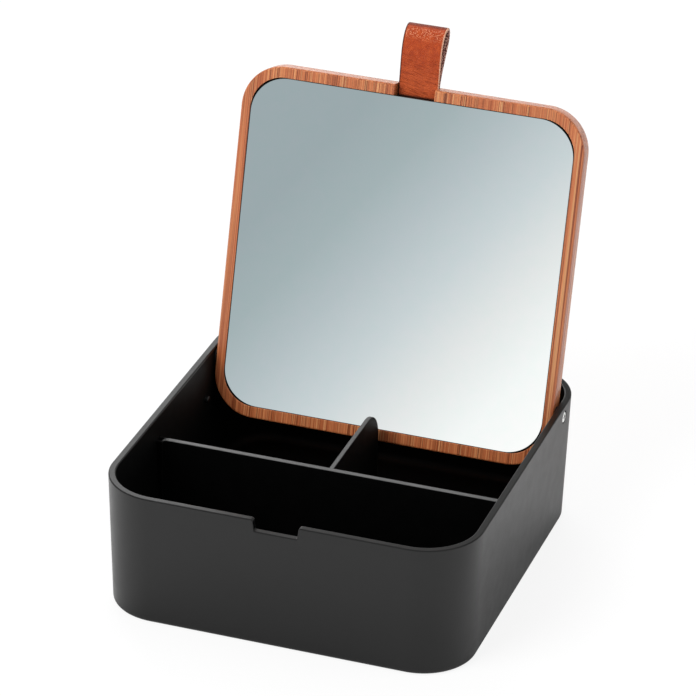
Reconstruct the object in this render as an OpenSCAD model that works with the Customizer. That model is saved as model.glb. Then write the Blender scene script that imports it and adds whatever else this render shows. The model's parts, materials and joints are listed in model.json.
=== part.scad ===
// Jewelry box with a tilting mirror lid: a moulded tub with two divider plates,
// and a wooden board lid that carries a mirror and a leather pull, hung on two pivot screws.
// The lid stands open at its rest pose. Millimetres, +Z up, front towards -Y,
// origin on the standing face in the middle of the tub.

/* [Tub] */
// Outside width at the rim
tub_w = 180; // [150:1:230]
// Outside depth at the rim
tub_d = 190; // [165:1:240]
// Height from the standing face to the rim
tub_h = 66; // [55:1:90]
// Outside plan radius of the corners at the rim
corner_r = 28; // [24:0.5:36]
// Wall thickness
wall_t = 3.4; // [3:0.1:4.5]
// Floor thickness
floor_t = 3.2; // [2.6:0.1:5]
// How far each wall leans in between rim and base
wall_lean = 2; // [0.5:0.1:3]
// Rounding of the outer rim edge
rim_round = 1; // [0.4:0.1:1.4]
// Rounding of the inner rim edge
lip_round = 0.5; // [0.2:0.1:1]
// Rounding of the outer bottom edge
base_round = 2.2; // [1:0.1:4]
// Rounding between floor and inner wall
floor_round = 4; // [2:0.5:6]
// Width of the ring that the tub stands on
ring_w = 9; // [6:0.5:14]
// How far the underside lies above the standing ring
ring_h = 0.8; // [0.4:0.1:1.2]
// Diameter of the small round nub on each side wall
nub_d = 4; // [3:0.5:6]
// How far a nub stands out of its wall
nub_out = 2; // [1:0.1:3]
// Height of a nub above the open lid's lower edge
nub_up = 9; // [5:0.5:12]
// Gap between a nub and the open lid
nub_gap = 5.8; // [0.5:0.1:9]

/* [Dividers] */
// Clear depth of the front compartment at the divider's top
front_room = 71; // [55:1:85]
// Thickness of the cross divider
cross_t = 2.4; // [1.8:0.1:3.5]
// Thickness of the short divider
short_t = 2; // [1.6:0.1:3]
// Rounding of the cross divider's upper corners
cross_round = 5; // [3:0.5:8]
// Rounding of the short divider's rear upper corner
short_round = 10; // [5:0.5:14]
// Gap between the cross divider's ends and the walls
end_gap = 0.3; // [0.2:0.05:0.6]
// Side clearance of a divider between its guide ribs
guide_gap = 0.1; // [0.05:0.05:0.3]
// Thickness of a guide rib
guide_t = 1.2; // [1:0.1:2]
// How far the guide ribs stand out
guide_out = 1.6; // [1:0.1:3]
// How far the guide ribs on the walls end below the divider's top
guide_drop = 0.6; // [0.3:0.1:5]
// Height of the floor ribs beside the short divider
floor_rib_h = 3; // [2:0.5:6]

/* [Lid board] */
// Board thickness
board_t = 9.5; // [8.5:0.1:12]
// How much tighter the board's corners are than the tub's
corner_ease = 7; // [5:0.5:9]
// Rounding of the board's edges
board_round = 1; // [0.4:0.1:2]
// Gap between the board and each side wall
side_gap = 0.8; // [0.6:0.05:1.5]
// Gap between the closed lid and the front wall
front_gap = 5.1; // [3:0.1:9]
// Gap between the closed lid and the rear wall
rear_gap = 3.9; // [2.5:0.1:8]
// How far the closed lid lies below the rim
lid_sink = 0.9; // [0.3:0.1:2]
// Gap between the closed lid and the divider tops
lid_rest_gap = 0.45; // [0.3:0.05:1]
// Distance of the pivot from the board's lower edge
pivot_up = 27; // [22:0.5:34]
// How far the open lid leans back from upright, in degrees
lid_lean = 15; // [8:0.5:25]
// Gap between the open lid and the divider that stops it
stop_gap = 0.3; // [0.2:0.05:0.6]

/* [Mirror] */
// Wood beside the mirror
frame_side = 4.8; // [3.5:0.1:10]
// Wood above the mirror
frame_top = 5.4; // [4:0.1:10]
// Wood below the mirror
frame_bottom = 5.8; // [4:0.1:10]
// Thickness of the mirror glass
mirror_t = 2; // [1.6:0.1:2.3]
// Gap around the mirror
mirror_gap = 0.35; // [0.2:0.05:0.8]
// How far the glass lies below the wood
mirror_sink = 0.3; // [0.1:0.05:0.6]
// Thickness of the mirror's mounting tape
tape_t = 0.4; // [0.2:0.1:0.6]
// Width of a strip of mounting tape
tape_w = 14; // [8:1:20]
// Strips of mounting tape on each side of the strap
tape_n = 2; // [1:1:3]

/* [Strap] */
// Strap width
strap_w = 19.8; // [14:0.2:26]
// Leather thickness
strap_t = 1.4; // [1:0.1:1.7]
// How far the loop stands above the board
strap_out = 28.5; // [20:0.5:40]
// Widest gap inside the loop
loop_gap = 5; // [2:0.1:5]
// How far the loop bends back at its tip
loop_bend = 4.8; // [0:0.1:6]
// Wood left behind the strap
strap_lip = 1.2; // [0.8:0.1:1.8]
// How far the strap runs down behind the mirror
strap_tuck = 20; // [12:1:30]
// Clearance round the strap in its pocket
pocket_gap = 0.2; // [0.1:0.05:0.5]
// Side clearance of the strap at the bottom of the front notch
notch_gap = 0.4; // [0.3:0.05:1]
// How much wider the notch is at the rim, on each side
notch_flare = 0.7; // [0.1:0.1:2]
// Gap between the closed strap and the notch's bottom
notch_under = 0.4; // [0.3:0.05:2]
// Rounding of the notch's lower corners
notch_round = 0.8; // [0.2:0.1:1.5]

/* [Pivots] */
// Diameter of the pivot screw's plain shank
shank_d = 3; // [2.6:0.1:3.3]
// Radial running clearance of the shank in the wall and the washer
shank_gap = 0.06; // [0.03:0.01:0.1]
// Diameter of the screw head
head_d = 5.6; // [5:0.1:7]
// Height of the screw head
head_h = 1.6; // [1.2:0.1:1.8]
// Gap around the head in its counterbore
head_gap = 0.4; // [0.3:0.05:0.8]
// Width of the cross recess in the head
recess_w = 0.9; // [0.6:0.1:1.2]
// Depth of the cross recess in the head
recess_h = 0.8; // [0.4:0.1:1]
// Depth of the thread in the board
thread_l = 14; // [8:0.5:20]
// Root diameter of the thread
thread_core = 2; // [1.6:0.1:2.4]
// Thread pitch
thread_pitch = 1.2; // [0.8:0.1:2]
// How far the pilot hole in the board is narrower than the thread
pilot_bite = 0.4; // [0.2:0.05:0.6]
// How far the pilot hole runs past the screw's tip
pilot_run = 1; // [0.5:0.5:3]
// Outside diameter of the spacer washer
washer_d = 9; // [7:0.5:9.5]
// Play of the washer between board and wall
washer_play = 0.1; // [0.05:0.05:0.2]

/* [Hidden] */
$fn = 96;
eps = 0.01;
arc_steps = 8;
lean_a = atan(wall_lean / tub_h);

// Outer and inner face of a wall at a height, measured in from the rim's outside
function wall_out(z) = wall_lean * (1 - z / tub_h);
function wall_in(z) = wall_out(z) + wall_t;
// Points along an arc
function arc(c, r, a0, a1) =
    [for (i = [0 : arc_steps]) let (a = a0 + (a1 - a0) * i / arc_steps) c + r * [cos(a), sin(a)]];

// Closed lid: its underside is the mirror side
pivot_z = tub_h - lid_sink - board_t / 2;
closed_under_z = pivot_z - board_t / 2;
room_w = tub_w - 2 * wall_in(closed_under_z);
room_d = tub_d - 2 * wall_in(closed_under_z);
board_w = room_w - 2 * side_gap;
board_l = room_d - front_gap - rear_gap;
board_r = corner_r - corner_ease;
board_top = board_l - pivot_up;
pivot_y = room_d / 2 - rear_gap - pivot_up;

// Open lid: its lower front edge rests on the rear edge of the short divider
lower_edge_y = pivot_y - pivot_up * sin(lid_lean) - board_t / 2 * cos(lid_lean);
lower_edge_z = pivot_z - pivot_up * cos(lid_lean) + board_t / 2 * sin(lid_lean);

divider_top = closed_under_z - lid_rest_gap;
cross_y = -tub_d / 2 + wall_in(divider_top) + front_room + cross_t / 2;
cross_rear = cross_y + cross_t / 2;
short_rear = lower_edge_y - stop_gap;

window_w = board_w - 2 * frame_side;
window_low = frame_bottom - pivot_up;
window_high = board_top - frame_top;
window_mid = (window_low + window_high) / 2;
window_r = board_r - frame_side;
window_depth = mirror_sink + mirror_t + tape_t;

// Strap: heights above the board's middle plane, with both leaves flat on the pocket's floor
pocket_floor = -board_t / 2 + strap_lip;
strap_mid = pocket_floor + strap_t;
pocket_low = window_high - strap_tuck;
pocket_w = strap_w + 2 * pocket_gap;

// The gap inside the loop opens like a teardrop, closed at the board and round at the tip;
// s runs from 0 at the board to 1 at the tip
gap_peak = 0.75;
loop_steps = 20;
loop_h = strap_out - strap_t;
function half_gap(s) = loop_gap / 2 * pow(s / gap_peak, 1.5) * sqrt((1 - s) / (1 - gap_peak));
function bend(s) = loop_bend * s * s;
function loop_s(i) = 1 - pow(1 - i / loop_steps, 2);
function gap_point(i, side) =
    let (s = loop_s(i)) [board_top + loop_h * s, strap_mid - bend(s) + side * half_gap(s)];
// The front leaf upwards, then the back leaf downwards
gap_line = concat(
    [for (i = [0 : loop_steps]) gap_point(i, 1)],
    [for (i = [loop_steps - 1 : -1 : 0]) gap_point(i, -1)]
);
gap_last = len(gap_line) - 1;
function along(i) = gap_line[i + 1] - gap_line[i - 1];
function outward(i) = let (d = along(i)) [-d[1], d[0]] / norm(d);
leather_line = [for (i = [1 : gap_last - 1]) gap_line[i] + strap_t * outward(i)];

// Front notch: the closed strap passes over its bottom, which clears the loop's lower leaf
wall_s = (front_gap + wall_t) / loop_h;
leaf_dip = max(0, half_gap(wall_s) - bend(wall_s));
notch_z = pivot_z - strap_mid - strap_t - leaf_dip - notch_under;
notch_half = strap_w / 2 + notch_gap;
flare_a = atan(notch_flare / (tub_h - notch_z));

outer_x = tub_w / 2 - wall_out(pivot_z);
head_under_x = outer_x - head_h;
washer_t = side_gap - washer_play;

// A section carried round a rounded rectangle; it is drawn outwards from the corner's axis
module carried_round(w, d, r) {
    for (i = [0 : 3]) {
        a = i % 2 == 0 ? w : d;
        b = i % 2 == 0 ? d : w;
        rotate([0, 0, 90 * i])
            translate([a / 2 - r, b / 2 - r, 0]) {
                rotate_extrude(angle = 90) children();
                rotate([90, 0, 0]) linear_extrude(b - 2 * r) children();
            }
    }
}

// A plain plate with rounded corners, standing on z = 0
module rounded_plate(w, d, r, h) {
    translate([-w / 2 + r, -d / 2, 0]) cube([w - 2 * r, d, h]);
    translate([-w / 2, -d / 2 + r, 0]) cube([w, d - 2 * r, h]);
    for (x = [-1, 1], y = [-1, 1])
        translate([x * (w / 2 - r), y * (d / 2 - r), 0]) cylinder(h = h, r = r);
}

// Places what is drawn on the board: x across, y up the board from the pivot, z out of the mirror side
module on_lid() {
    translate([0, pivot_y, pivot_z]) rotate([90 - lid_lean, 0, 0]) children();
}

// Places what is drawn along a pivot: z runs outwards from the middle of the tub
module on_pivot(side) {
    translate([0, pivot_y, pivot_z]) rotate([0, side * 90, 0]) children();
}

// Section of floor and wall, from the corner's axis outwards
module tub_section() {
    rim_z = tub_h - rim_round;
    lip_z = tub_h - lip_round;
    well_z = floor_t + floor_round;
    foot_c = [corner_r - wall_out(base_round) - base_round / cos(lean_a), base_round];
    rim_c = [corner_r - wall_out(rim_z) - rim_round / cos(lean_a), rim_z];
    lip_c = [corner_r - wall_in(lip_z) + lip_round / cos(lean_a), lip_z];
    well_c = [corner_r - wall_in(well_z) - floor_round / cos(lean_a), well_z];
    polygon(concat(
        [[0, 0]],
        arc(foot_c, base_round, -90, -lean_a),
        arc(rim_c, rim_round, -lean_a, 90),
        arc(lip_c, lip_round, 90, 180 - lean_a),
        arc(well_c, floor_round, -lean_a, -90),
        [[0, floor_t]]
    ));
}

// Opening for the strap in the front wall, flared towards the rim
module notch_cut() {
    above = tub_h + notch_round;
    round_x = notch_half + notch_round * tan(flare_a) - notch_round / cos(flare_a);
    round_z = notch_z + notch_round;
    above_x = notch_half + (above - notch_z) * tan(flare_a);
    translate([0, -tub_d / 2 + 2 * wall_t, 0])
        rotate([90, 0, 0])
            linear_extrude(3 * wall_t)
                polygon(concat(
                    arc([-round_x, round_z], notch_round, 180 + flare_a, 270),
                    arc([round_x, round_z], notch_round, -90, -flare_a),
                    [[above_x, above], [-above_x, above]]
                ));
}

// Guide rib for one end of the cross divider, standing on the floor and following the wall
module wall_guide() {
    top = divider_top - guide_drop;
    inner_x = tub_w / 2 - wall_in(floor_t) - guide_out;
    rotate([90, 0, 0])
        linear_extrude(guide_t, center = true)
            polygon([
                [inner_x, floor_t - eps],
                [tub_w / 2 - wall_in(floor_t) + wall_t / 2, floor_t - eps],
                [tub_w / 2 - wall_in(top) + wall_t / 2, top],
                [inner_x, top]
            ]);
}

module tub_shell() {
    guide_y = cross_t / 2 + guide_gap + guide_t / 2;
    rib_x = short_t / 2 + guide_gap;
    rib_front = cross_rear + guide_out;
    nub_z = lower_edge_z + nub_up;
    nub_y = lower_edge_y + nub_up * tan(lid_lean) - nub_d / 2 - nub_gap;
    nub_x = tub_w / 2 - wall_in(nub_z);
    color("#2b2b2c")
        difference() {
            union() {
                carried_round(tub_w, tub_d, corner_r) tub_section();
                translate([-tub_w / 2 + corner_r, -tub_d / 2 + corner_r, 0])
                    cube([tub_w - 2 * corner_r, tub_d - 2 * corner_r, floor_t]);
                for (side = [-1, 1]) {
                    // Guide ribs of the cross divider
                    for (y = [-1, 1])
                        translate([0, cross_y + y * guide_y, 0])
                            rotate([0, 0, side < 0 ? 180 : 0])
                                wall_guide();
                    // Low rib on the floor beside the short divider
                    translate([side * (rib_x + guide_t / 2) - guide_t / 2, rib_front, floor_t - eps])
                        cube([guide_t, short_rear - short_round - rib_front, floor_rib_h + eps]);
                    // Flat pad round the pivot
                    on_pivot(side)
                        translate([0, 0, room_w / 2]) cylinder(h = wall_t / 2, d = washer_d);
                    // Nub on the wall
                    translate([side * (nub_x - nub_out), nub_y, nub_z])
                        rotate([0, side * 90, 0])
                            cylinder(h = nub_out + wall_t / 2, d = nub_d);
                }
            }
            notch_cut();
            // Shallow underside inside the standing ring
            translate([0, 0, -eps])
                rounded_plate(
                    tub_w - 2 * (wall_lean + ring_w), tub_d - 2 * (wall_lean + ring_w),
                    corner_r - wall_lean - ring_w, ring_h + eps
                );
            // Pivot holes, counterbored for the screw heads
            for (side = [-1, 1])
                on_pivot(side) {
                    translate([0, 0, room_w / 2 - wall_t])
                        cylinder(h = 3 * wall_t, d = shank_d + 2 * shank_gap);
                    translate([0, 0, head_under_x])
                        cylinder(h = 2 * wall_t, d = head_d + 2 * head_gap);
                }
        }
}

// Cross divider: its ends follow the leaning walls, its lower corners clear the floor's rounding
module cross_divider() {
    heel_z = floor_t + floor_round;
    heel_half = tub_w / 2 - wall_in(heel_z) - end_gap;
    round_z = divider_top - cross_round;
    round_half = tub_w / 2 - wall_in(round_z) - end_gap;
    rib_x = short_t / 2 + guide_gap + guide_t / 2;
    color("#303031") {
        translate([0, cross_rear, 0])
            rotate([90, 0, 0])
                linear_extrude(cross_t)
                    polygon(concat(
                        [[-heel_half + floor_round, floor_t], [heel_half - floor_round, floor_t]],
                        [[heel_half, heel_z]],
                        arc([round_half - cross_round, round_z], cross_round, 0, 90),
                        arc([-round_half + cross_round, round_z], cross_round, 90, 180),
                        [[-heel_half, heel_z]]
                    ));
        // Ribs that hold the front edge of the short divider
        for (side = [-1, 1])
            translate([side * rib_x - guide_t / 2, cross_rear - eps, floor_t])
                cube([guide_t, guide_out + eps, divider_top - short_round - floor_t]);
    }
}

// Short divider: its rear edge stops the open lid, and its rear upper corner is rounded
module short_divider() {
    color("#303031")
        translate([-short_t / 2, 0, 0])
            rotate([90, 0, 90])
                linear_extrude(short_t)
                    polygon(concat(
                        [[cross_rear, floor_t], [short_rear, floor_t]],
                        arc([short_rear - short_round, divider_top - short_round], short_round, 0, 90),
                        [[cross_rear, divider_top]]
                    ));
}

// Section of the board's edge, both edges eased
module board_section() {
    half = board_t / 2;
    edge_r = board_r - board_round;
    polygon(concat(
        [[0, -half]],
        arc([edge_r, -half + board_round], board_round, -90, 0),
        arc([edge_r, half - board_round], board_round, 0, 90),
        [[0, half]]
    ));
}

module lid_board() {
    half = board_t / 2;
    pilot_l = thread_l + pilot_run;
    color("#c07a4e")
        on_lid()
            difference() {
                translate([0, board_l / 2 - pivot_up, 0]) {
                    carried_round(board_w, board_l, board_r) board_section();
                    translate([-board_w / 2 + board_r, -board_l / 2 + board_r, -half])
                        cube([board_w - 2 * board_r, board_l - 2 * board_r, board_t]);
                }
                // Recess of the mirror
                translate([0, window_mid, half - window_depth])
                    rounded_plate(window_w, window_high - window_low, window_r, 2 * window_depth);
                // Pocket of the strap, open at the board's upper edge
                translate([-pocket_w / 2, pocket_low, pocket_floor])
                    cube([pocket_w, board_l, board_t]);
                // Pilot holes of the pivot screws
                for (side = [-1, 1])
                    rotate([0, side * 90, 0])
                        translate([0, 0, board_w / 2 - pilot_l])
                            cylinder(h = 2 * pilot_l, d = shank_d - pilot_bite);
            }
}

module mirror_glass() {
    color("#c9d3d6")
        on_lid()
            translate([0, window_mid, board_t / 2 - mirror_sink - mirror_t])
                rounded_plate(
                    window_w - 2 * mirror_gap, window_high - window_low - 2 * mirror_gap,
                    window_r - mirror_gap, mirror_t
                );
}

// Strips of double-sided tape between the recess and the back of the glass
module mirror_tape() {
    strip_l = window_high - window_low - 2 * window_r;
    step = (window_w - window_r - pocket_w) / 2 / tape_n;
    color("#e8e6df")
        on_lid()
            for (side = [-1, 1], i = [0 : tape_n - 1])
                translate([
                    side * (pocket_w / 2 + step * (i + 0.5)) - tape_w / 2,
                    window_mid - strip_l / 2,
                    board_t / 2 - window_depth
                ])
                    cube([tape_w, strip_l, tape_t]);
}

// Leather folded into a loop, its two ends lying on each other behind the mirror
module strap() {
    tuck_low = pocket_low + pocket_gap;
    color("#a9502c")
        on_lid()
            rotate([90, 0, 90])
                translate([0, 0, -strap_w / 2])
                    linear_extrude(strap_w)
                        difference() {
                            polygon(concat(
                                [[tuck_low, strap_mid + strap_t], [board_top, strap_mid + strap_t]],
                                leather_line,
                                [[board_top, strap_mid - strap_t], [tuck_low, strap_mid - strap_t]]
                            ));
                            polygon(gap_line);
                        }
}

// Pivot screw: pan head with a cross recess, plain shank in the wall, ringed thread in the board
module pivot_screw(side) {
    face = board_w / 2;
    rings = floor(thread_l / thread_pitch);
    color("#c8c8c6")
        on_pivot(side)
            difference() {
                union() {
                    translate([0, 0, head_under_x]) cylinder(h = head_h, d = head_d);
                    translate([0, 0, face]) cylinder(h = head_under_x - face + eps, d = shank_d);
                    translate([0, 0, face - thread_l]) cylinder(h = thread_l + eps, d = thread_core);
                    for (i = [1 : rings])
                        translate([0, 0, face - i * thread_pitch]) {
                            cylinder(h = thread_pitch / 2, d1 = thread_core, d2 = shank_d);
                            translate([0, 0, thread_pitch / 2])
                                cylinder(h = thread_pitch / 2, d1 = shank_d, d2 = thread_core);
                        }
                }
                for (a = [0, 90])
                    rotate([0, 0, a])
                        translate([-head_d / 3, -recess_w / 2, outer_x - recess_h])
                            cube([head_d * 2 / 3, recess_w, head_h]);
            }
}

module pivot_washer(side) {
    color("#d8d4c8")
        on_pivot(side)
            translate([0, 0, board_w / 2 + washer_play / 2])
                difference() {
                    cylinder(h = washer_t, d = washer_d);
                    translate([0, 0, -washer_t])
                        cylinder(h = 3 * washer_t, d = shank_d + 2 * shank_gap);
                }
}

tub_shell();
cross_divider();
short_divider();
lid_board();
mirror_glass();
mirror_tape();
strap();
pivot_screw(-1);  // pivot_screw_left
pivot_screw(1);  // pivot_screw_right
pivot_washer(-1);  // pivot_washer_left
pivot_washer(1);  // pivot_washer_right
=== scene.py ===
import json
import bmesh
import bpy
import numpy as np
from mathutils import Matrix


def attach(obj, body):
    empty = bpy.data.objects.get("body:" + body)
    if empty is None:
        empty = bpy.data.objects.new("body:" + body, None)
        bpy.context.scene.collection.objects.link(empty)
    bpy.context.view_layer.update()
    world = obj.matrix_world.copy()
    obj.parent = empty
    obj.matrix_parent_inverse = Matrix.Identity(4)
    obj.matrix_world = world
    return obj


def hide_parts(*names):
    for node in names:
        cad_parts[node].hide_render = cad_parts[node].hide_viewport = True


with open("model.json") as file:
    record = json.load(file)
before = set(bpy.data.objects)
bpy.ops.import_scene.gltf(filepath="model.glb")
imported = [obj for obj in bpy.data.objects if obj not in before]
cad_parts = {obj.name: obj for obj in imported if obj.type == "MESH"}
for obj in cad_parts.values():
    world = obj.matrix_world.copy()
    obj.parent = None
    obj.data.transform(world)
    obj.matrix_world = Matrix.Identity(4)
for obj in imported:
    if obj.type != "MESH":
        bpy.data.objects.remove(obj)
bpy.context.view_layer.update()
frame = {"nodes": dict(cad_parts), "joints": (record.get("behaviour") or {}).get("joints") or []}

mm = 0.001
axisX, axisY, axisZ = np.eye(3)
bothSides = (-1, 1)
pivot = np.array(frame["joints"][0]["pos_m"]) / mm      # lid's axis, in millimetres as all sizes below
print("frame loaded, lid pivot at", pivot.round(2))


# Small tools for meshes

def arcPoints(centre, radius, start, end, steps):
    # points on a circle arc, angles in degrees
    a = np.radians(np.linspace(start, end, steps + 1))
    return np.asarray(centre) + radius * np.stack([np.cos(a), np.sin(a)], -1)


def roundedOutline(corners, radii, steps=10):
    # anticlockwise outline with each corner rounded by an arc: gives arc centres, outward normals and radii
    p = np.asarray(corners, float)
    r = np.broadcast_to(np.asarray(radii, float), len(p))
    into = p - np.roll(p, 1, 0)
    out = np.roll(p, -1, 0) - p
    into /= np.linalg.norm(into, axis=1, keepdims=True)
    out /= np.linalg.norm(out, axis=1, keepdims=True)
    n0 = np.stack([into[:, 1], -into[:, 0]], -1)
    n1 = np.stack([out[:, 1], -out[:, 0]], -1)
    half = (n0 + n1) / (1 + (n0 * n1).sum(1, keepdims=True))     # to the corner from one unit inside
    centre = p - half * r[:, None]
    a0 = np.arctan2(n0[:, 1], n0[:, 0])
    turn = np.arctan2(n0[:, 0] * n1[:, 1] - n0[:, 1] * n1[:, 0], (n0 * n1).sum(1))
    a = a0[:, None] + turn[:, None] * np.linspace(0, 1, steps + 1)
    normal = np.stack([np.cos(a), np.sin(a)], -1).reshape(-1, 2)
    return np.repeat(centre, steps + 1, 0), normal, np.repeat(r, steps + 1)


def rectangle(width, height, middle=(0, 0)):
    # its corners, anticlockwise from the lower left
    signs = np.array([[-1, -1], [1, -1], [1, 1], [-1, 1]])
    return np.asarray(middle) + signs * np.array([width, height]) / 2


def gridFaces(rows, columns):
    # quads between neighbouring rings of points, each ring closed on itself, with a flat cap at each end
    first = np.arange(rows - 1)[:, None] * columns
    here = np.arange(columns)
    after = np.roll(here, -1)
    quads = np.stack([first + here, first + after, first + columns + after, first + columns + here], -1)
    last = (rows - 1) * columns
    return quads.reshape(-1, 4).tolist() + [here[::-1].tolist(), (last + here).tolist()]


def atHeights(rings, heights):
    # flat rings of points, each lifted to its height
    lifted = np.broadcast_to(np.asarray(heights)[:, None, None], rings.shape[:2] + (1,))
    return np.concatenate([rings, lifted], -1)


edgeSteps = 6      # points on each quarter-round of a plate
ribSteps = 4       # parts of each rounded corner of a rib


def plate(outline, thick, edge, hold=0.25):
    # an outline becomes a plate that stands on height 0: it is carried over a quarter-round, a side and
    # another quarter-round, and a narrow flat border keeps the caps' shading flat
    centre, normal, radius = outline
    a = np.radians(np.linspace(0, 90, edgeSteps))
    border = [edge + hold]
    inset = np.concatenate([border, edge * (1 - np.sin(a)), edge * (1 - np.cos(a)), border])
    height = np.concatenate([[0], edge * (1 - np.cos(a)), thick - edge + edge * np.sin(a), [thick]])
    ring = centre + normal * (radius - inset[:, None])[..., None]
    return atHeights(ring, height).reshape(-1, 3), gridFaces(len(inset), len(normal))


def lathe(profile, steps=48):
    # a profile of radius and height turned round the height axis, its two ends closed by discs
    p = np.asarray(profile, float)
    a = np.linspace(0, 2 * np.pi, steps, endpoint=False)
    points = np.stack([p[:, :1] * np.cos(a), p[:, :1] * np.sin(a), np.repeat(p[:, 1:], steps, 1)], -1)
    return points.reshape(-1, 3), gridFaces(len(p), steps)


def brick(low, high):
    # plain box between two corners, for cutting
    low, high = np.asarray(low, float), np.asarray(high, float)
    points = low + (high - low) * np.array([[i & 1, i >> 1 & 1, i >> 2] for i in range(8)])
    return points, [[0, 2, 3, 1], [4, 5, 7, 6], [0, 1, 5, 4], [2, 6, 7, 3], [0, 4, 6, 2], [1, 3, 7, 5]]


def placed(part, xAxis, yAxis, zAxis, origin=(0, 0, 0)):
    # turns and moves a part: its own axes lie along the three given ones
    points, faces = part
    return np.asarray(origin) + points @ np.array([xAxis, yAxis, zAxis], float), faces


def makeMesh(name, part):
    # points and faces become an object whose faces point outwards
    points, faces = part
    mesh = bpy.data.meshes.new(name)
    mesh.from_pydata((points * mm).tolist(), [], faces)
    bm = bmesh.new()
    bm.from_mesh(mesh)
    bmesh.ops.recalc_face_normals(bm, faces=bm.faces)
    bm.to_mesh(mesh)
    bm.free()
    piece = bpy.data.objects.new(name, mesh)
    bpy.context.scene.collection.objects.link(piece)
    return piece


def cutAway(piece, *cutters):
    # takes closed parts out of a piece
    tools = [makeMesh("cutter", part) for part in cutters]
    for tool in tools:
        cut = piece.modifiers.new("cut", "BOOLEAN")
        cut.operation = "DIFFERENCE"
        cut.solver = "EXACT"
        cut.object = tool
    view = bpy.context.evaluated_depsgraph_get()
    shaped = bpy.data.meshes.new_from_object(piece.evaluated_get(view))
    piece.modifiers.clear()
    piece.data = shaped
    for tool in tools:
        bpy.data.objects.remove(tool)


def addParts(piece, *parts):
    # closed parts that stand on the piece join its mesh
    bm = bmesh.new()
    bm.from_mesh(piece.data)
    for part in parts:
        extra = makeMesh("extra", part)
        bm.from_mesh(extra.data)
        bpy.data.objects.remove(extra)
    bm.to_mesh(piece.data)
    bm.free()


def faceMiddles(piece):
    # middle and normal of each face
    count = len(piece.data.polygons)
    middle, normal = np.empty(count * 3), np.empty(count * 3)
    piece.data.polygons.foreach_get("center", middle)
    piece.data.polygons.foreach_get("normal", normal)
    return middle.reshape(-1, 3) / mm, normal.reshape(-1, 3)


def paintFaces(piece, number):
    # number of the material that each face takes
    piece.data.polygons.foreach_set("material_index", np.asarray(number).astype(np.int32))


def finishPiece(piece, body, nodes, materials, sharp=30):
    # smooth shading with sharp edges kept, then the piece takes its place in the frame
    piece.data.shade_smooth()
    piece.data.set_sharp_from_angle(angle=np.radians(sharp))
    for material in materials:
        piece.data.materials.append(material)
    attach(piece, body)
    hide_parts(*nodes)
    print(piece.name, len(piece.data.polygons), "faces")


# Small tools for materials

def toLinear(hexText):
    # sRGB hex to the linear colour that the shader sockets take
    c = np.array([int(hexText[i:i + 2], 16) for i in (1, 3, 5)]) / 255
    linear = np.where(c <= 0.04045, c / 12.92, ((c + 0.055) / 1.055) ** 2.4)
    return (*linear.tolist(), 1.0)


def addNode(tree, kind, links=(), stops=(), **settings):
    # a new node with its settings and links: an input, by place or by name, takes a node's first output,
    # one certain output or a plain value, and a colour ramp takes its stops
    node = tree.nodes.new("ShaderNode" + kind)
    for name, value in settings.items():
        setattr(node, name, value)
    for _ in stops[2:]:
        node.color_ramp.elements.new(0.5)
    for index, (position, colour) in enumerate(stops):
        node.color_ramp.elements[index].position = position
        node.color_ramp.elements[index].color = toLinear(colour)
    for key, value in links.items() if isinstance(links, dict) else enumerate(links):
        if isinstance(value, bpy.types.Node):
            value = value.outputs[0]
        if isinstance(value, bpy.types.NodeSocket):
            tree.links.new(value, node.inputs[key])
        else:
            node.inputs[key].default_value = value
    return node


def newMaterial(name, turn=0, origin=(0, 0, 0)):
    # an empty material, with the piece's own millimetres as pattern coordinates
    material = bpy.data.materials.new(name)
    material.use_nodes = True
    tree = material.node_tree
    tree.nodes.clear()
    coords = addNode(tree, "TexCoord").outputs["Object"]
    place = addNode(tree, "Mapping", {
        "Vector": coords, "Location": tuple(np.asarray(origin) * mm),
        "Rotation": (np.radians(turn), 0, 0), "Scale": (mm, mm, mm)}, vector_type="TEXTURE")
    return material, tree, place


# Tub: black plastic, its wall section carried round a rounded rectangle

tub = {
    "width": 180, "depth": 190, "height": 66, "corner": 28, "cornerSteps": 24,
    "wall": 3.4, "floor": 3.2, "lean": 2,
    "rimRound": 0.6, "lipRound": 0.6, "footRound": 2.2, "floorRound": 4,
    "rimPoints": 8, "lipPoints": 7, "footSteps": 8, "floorSteps": 10,
    "ringWidth": 9, "ringHeight": 0.8, "capRadius": 8,
    "wallRows": (0.02, 0.35, 0.7, 1),                                       # shares of the wall's height
    "outerHold": 0.1, "rimHold": 0.2, "innerHold": 0.4, "flatHold": 0.5,    # borders that keep flats flat
    "notchHalf": 10.3, "notchFlare": 0.7, "notchFloor": 60.05, "notchRound": 0.8, "notchEase": 1.3,
    "hollowSteps": 8, "crestSteps": 10,
    "headRadius": 3.2, "headDepth": 1.6, "holeRadius": 1.56, "boreReach": 6,
    "guideThick": 1.2, "guideOut": 1.6, "guideGap": 0.1, "guideTop": 54.55, "guideRound": 0.6,
    "guideSink": 0.5, "guideBite": 1.5, "guideEdge": 0.25, "guideHold": 0.05,
    "floorRib": 3, "floorRibRound": 0.4, "floorRibSink": 0.3, "floorRibHold": 0.02,
    "nubRadius": 2, "nubOut": 2, "nubPlace": (43.42, 44.5), "nubRound": 0.6, "nubSteps": 5, "nubSides": 32,
    "nubHold": 0.1, "nubCrown": 1, "nubSink": 1,
    "matteInwards": -30, "matteUpwards": 0.5, "matteAbove": 1,              # limits of the matte faces
    "satinRim": 1.5, "satinNub": 0.3,                                       # satin round the rim and nubs
}


def outerPlace(t, z):
    # outer face of a side wall at a height: the wall leans out towards the rim
    return t["width"] / 2 - t["lean"] * (1 - z / t["height"])


def wallPlace(t, z):
    # inner face of a side wall at a height
    return outerPlace(t, z) - t["wall"]


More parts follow.
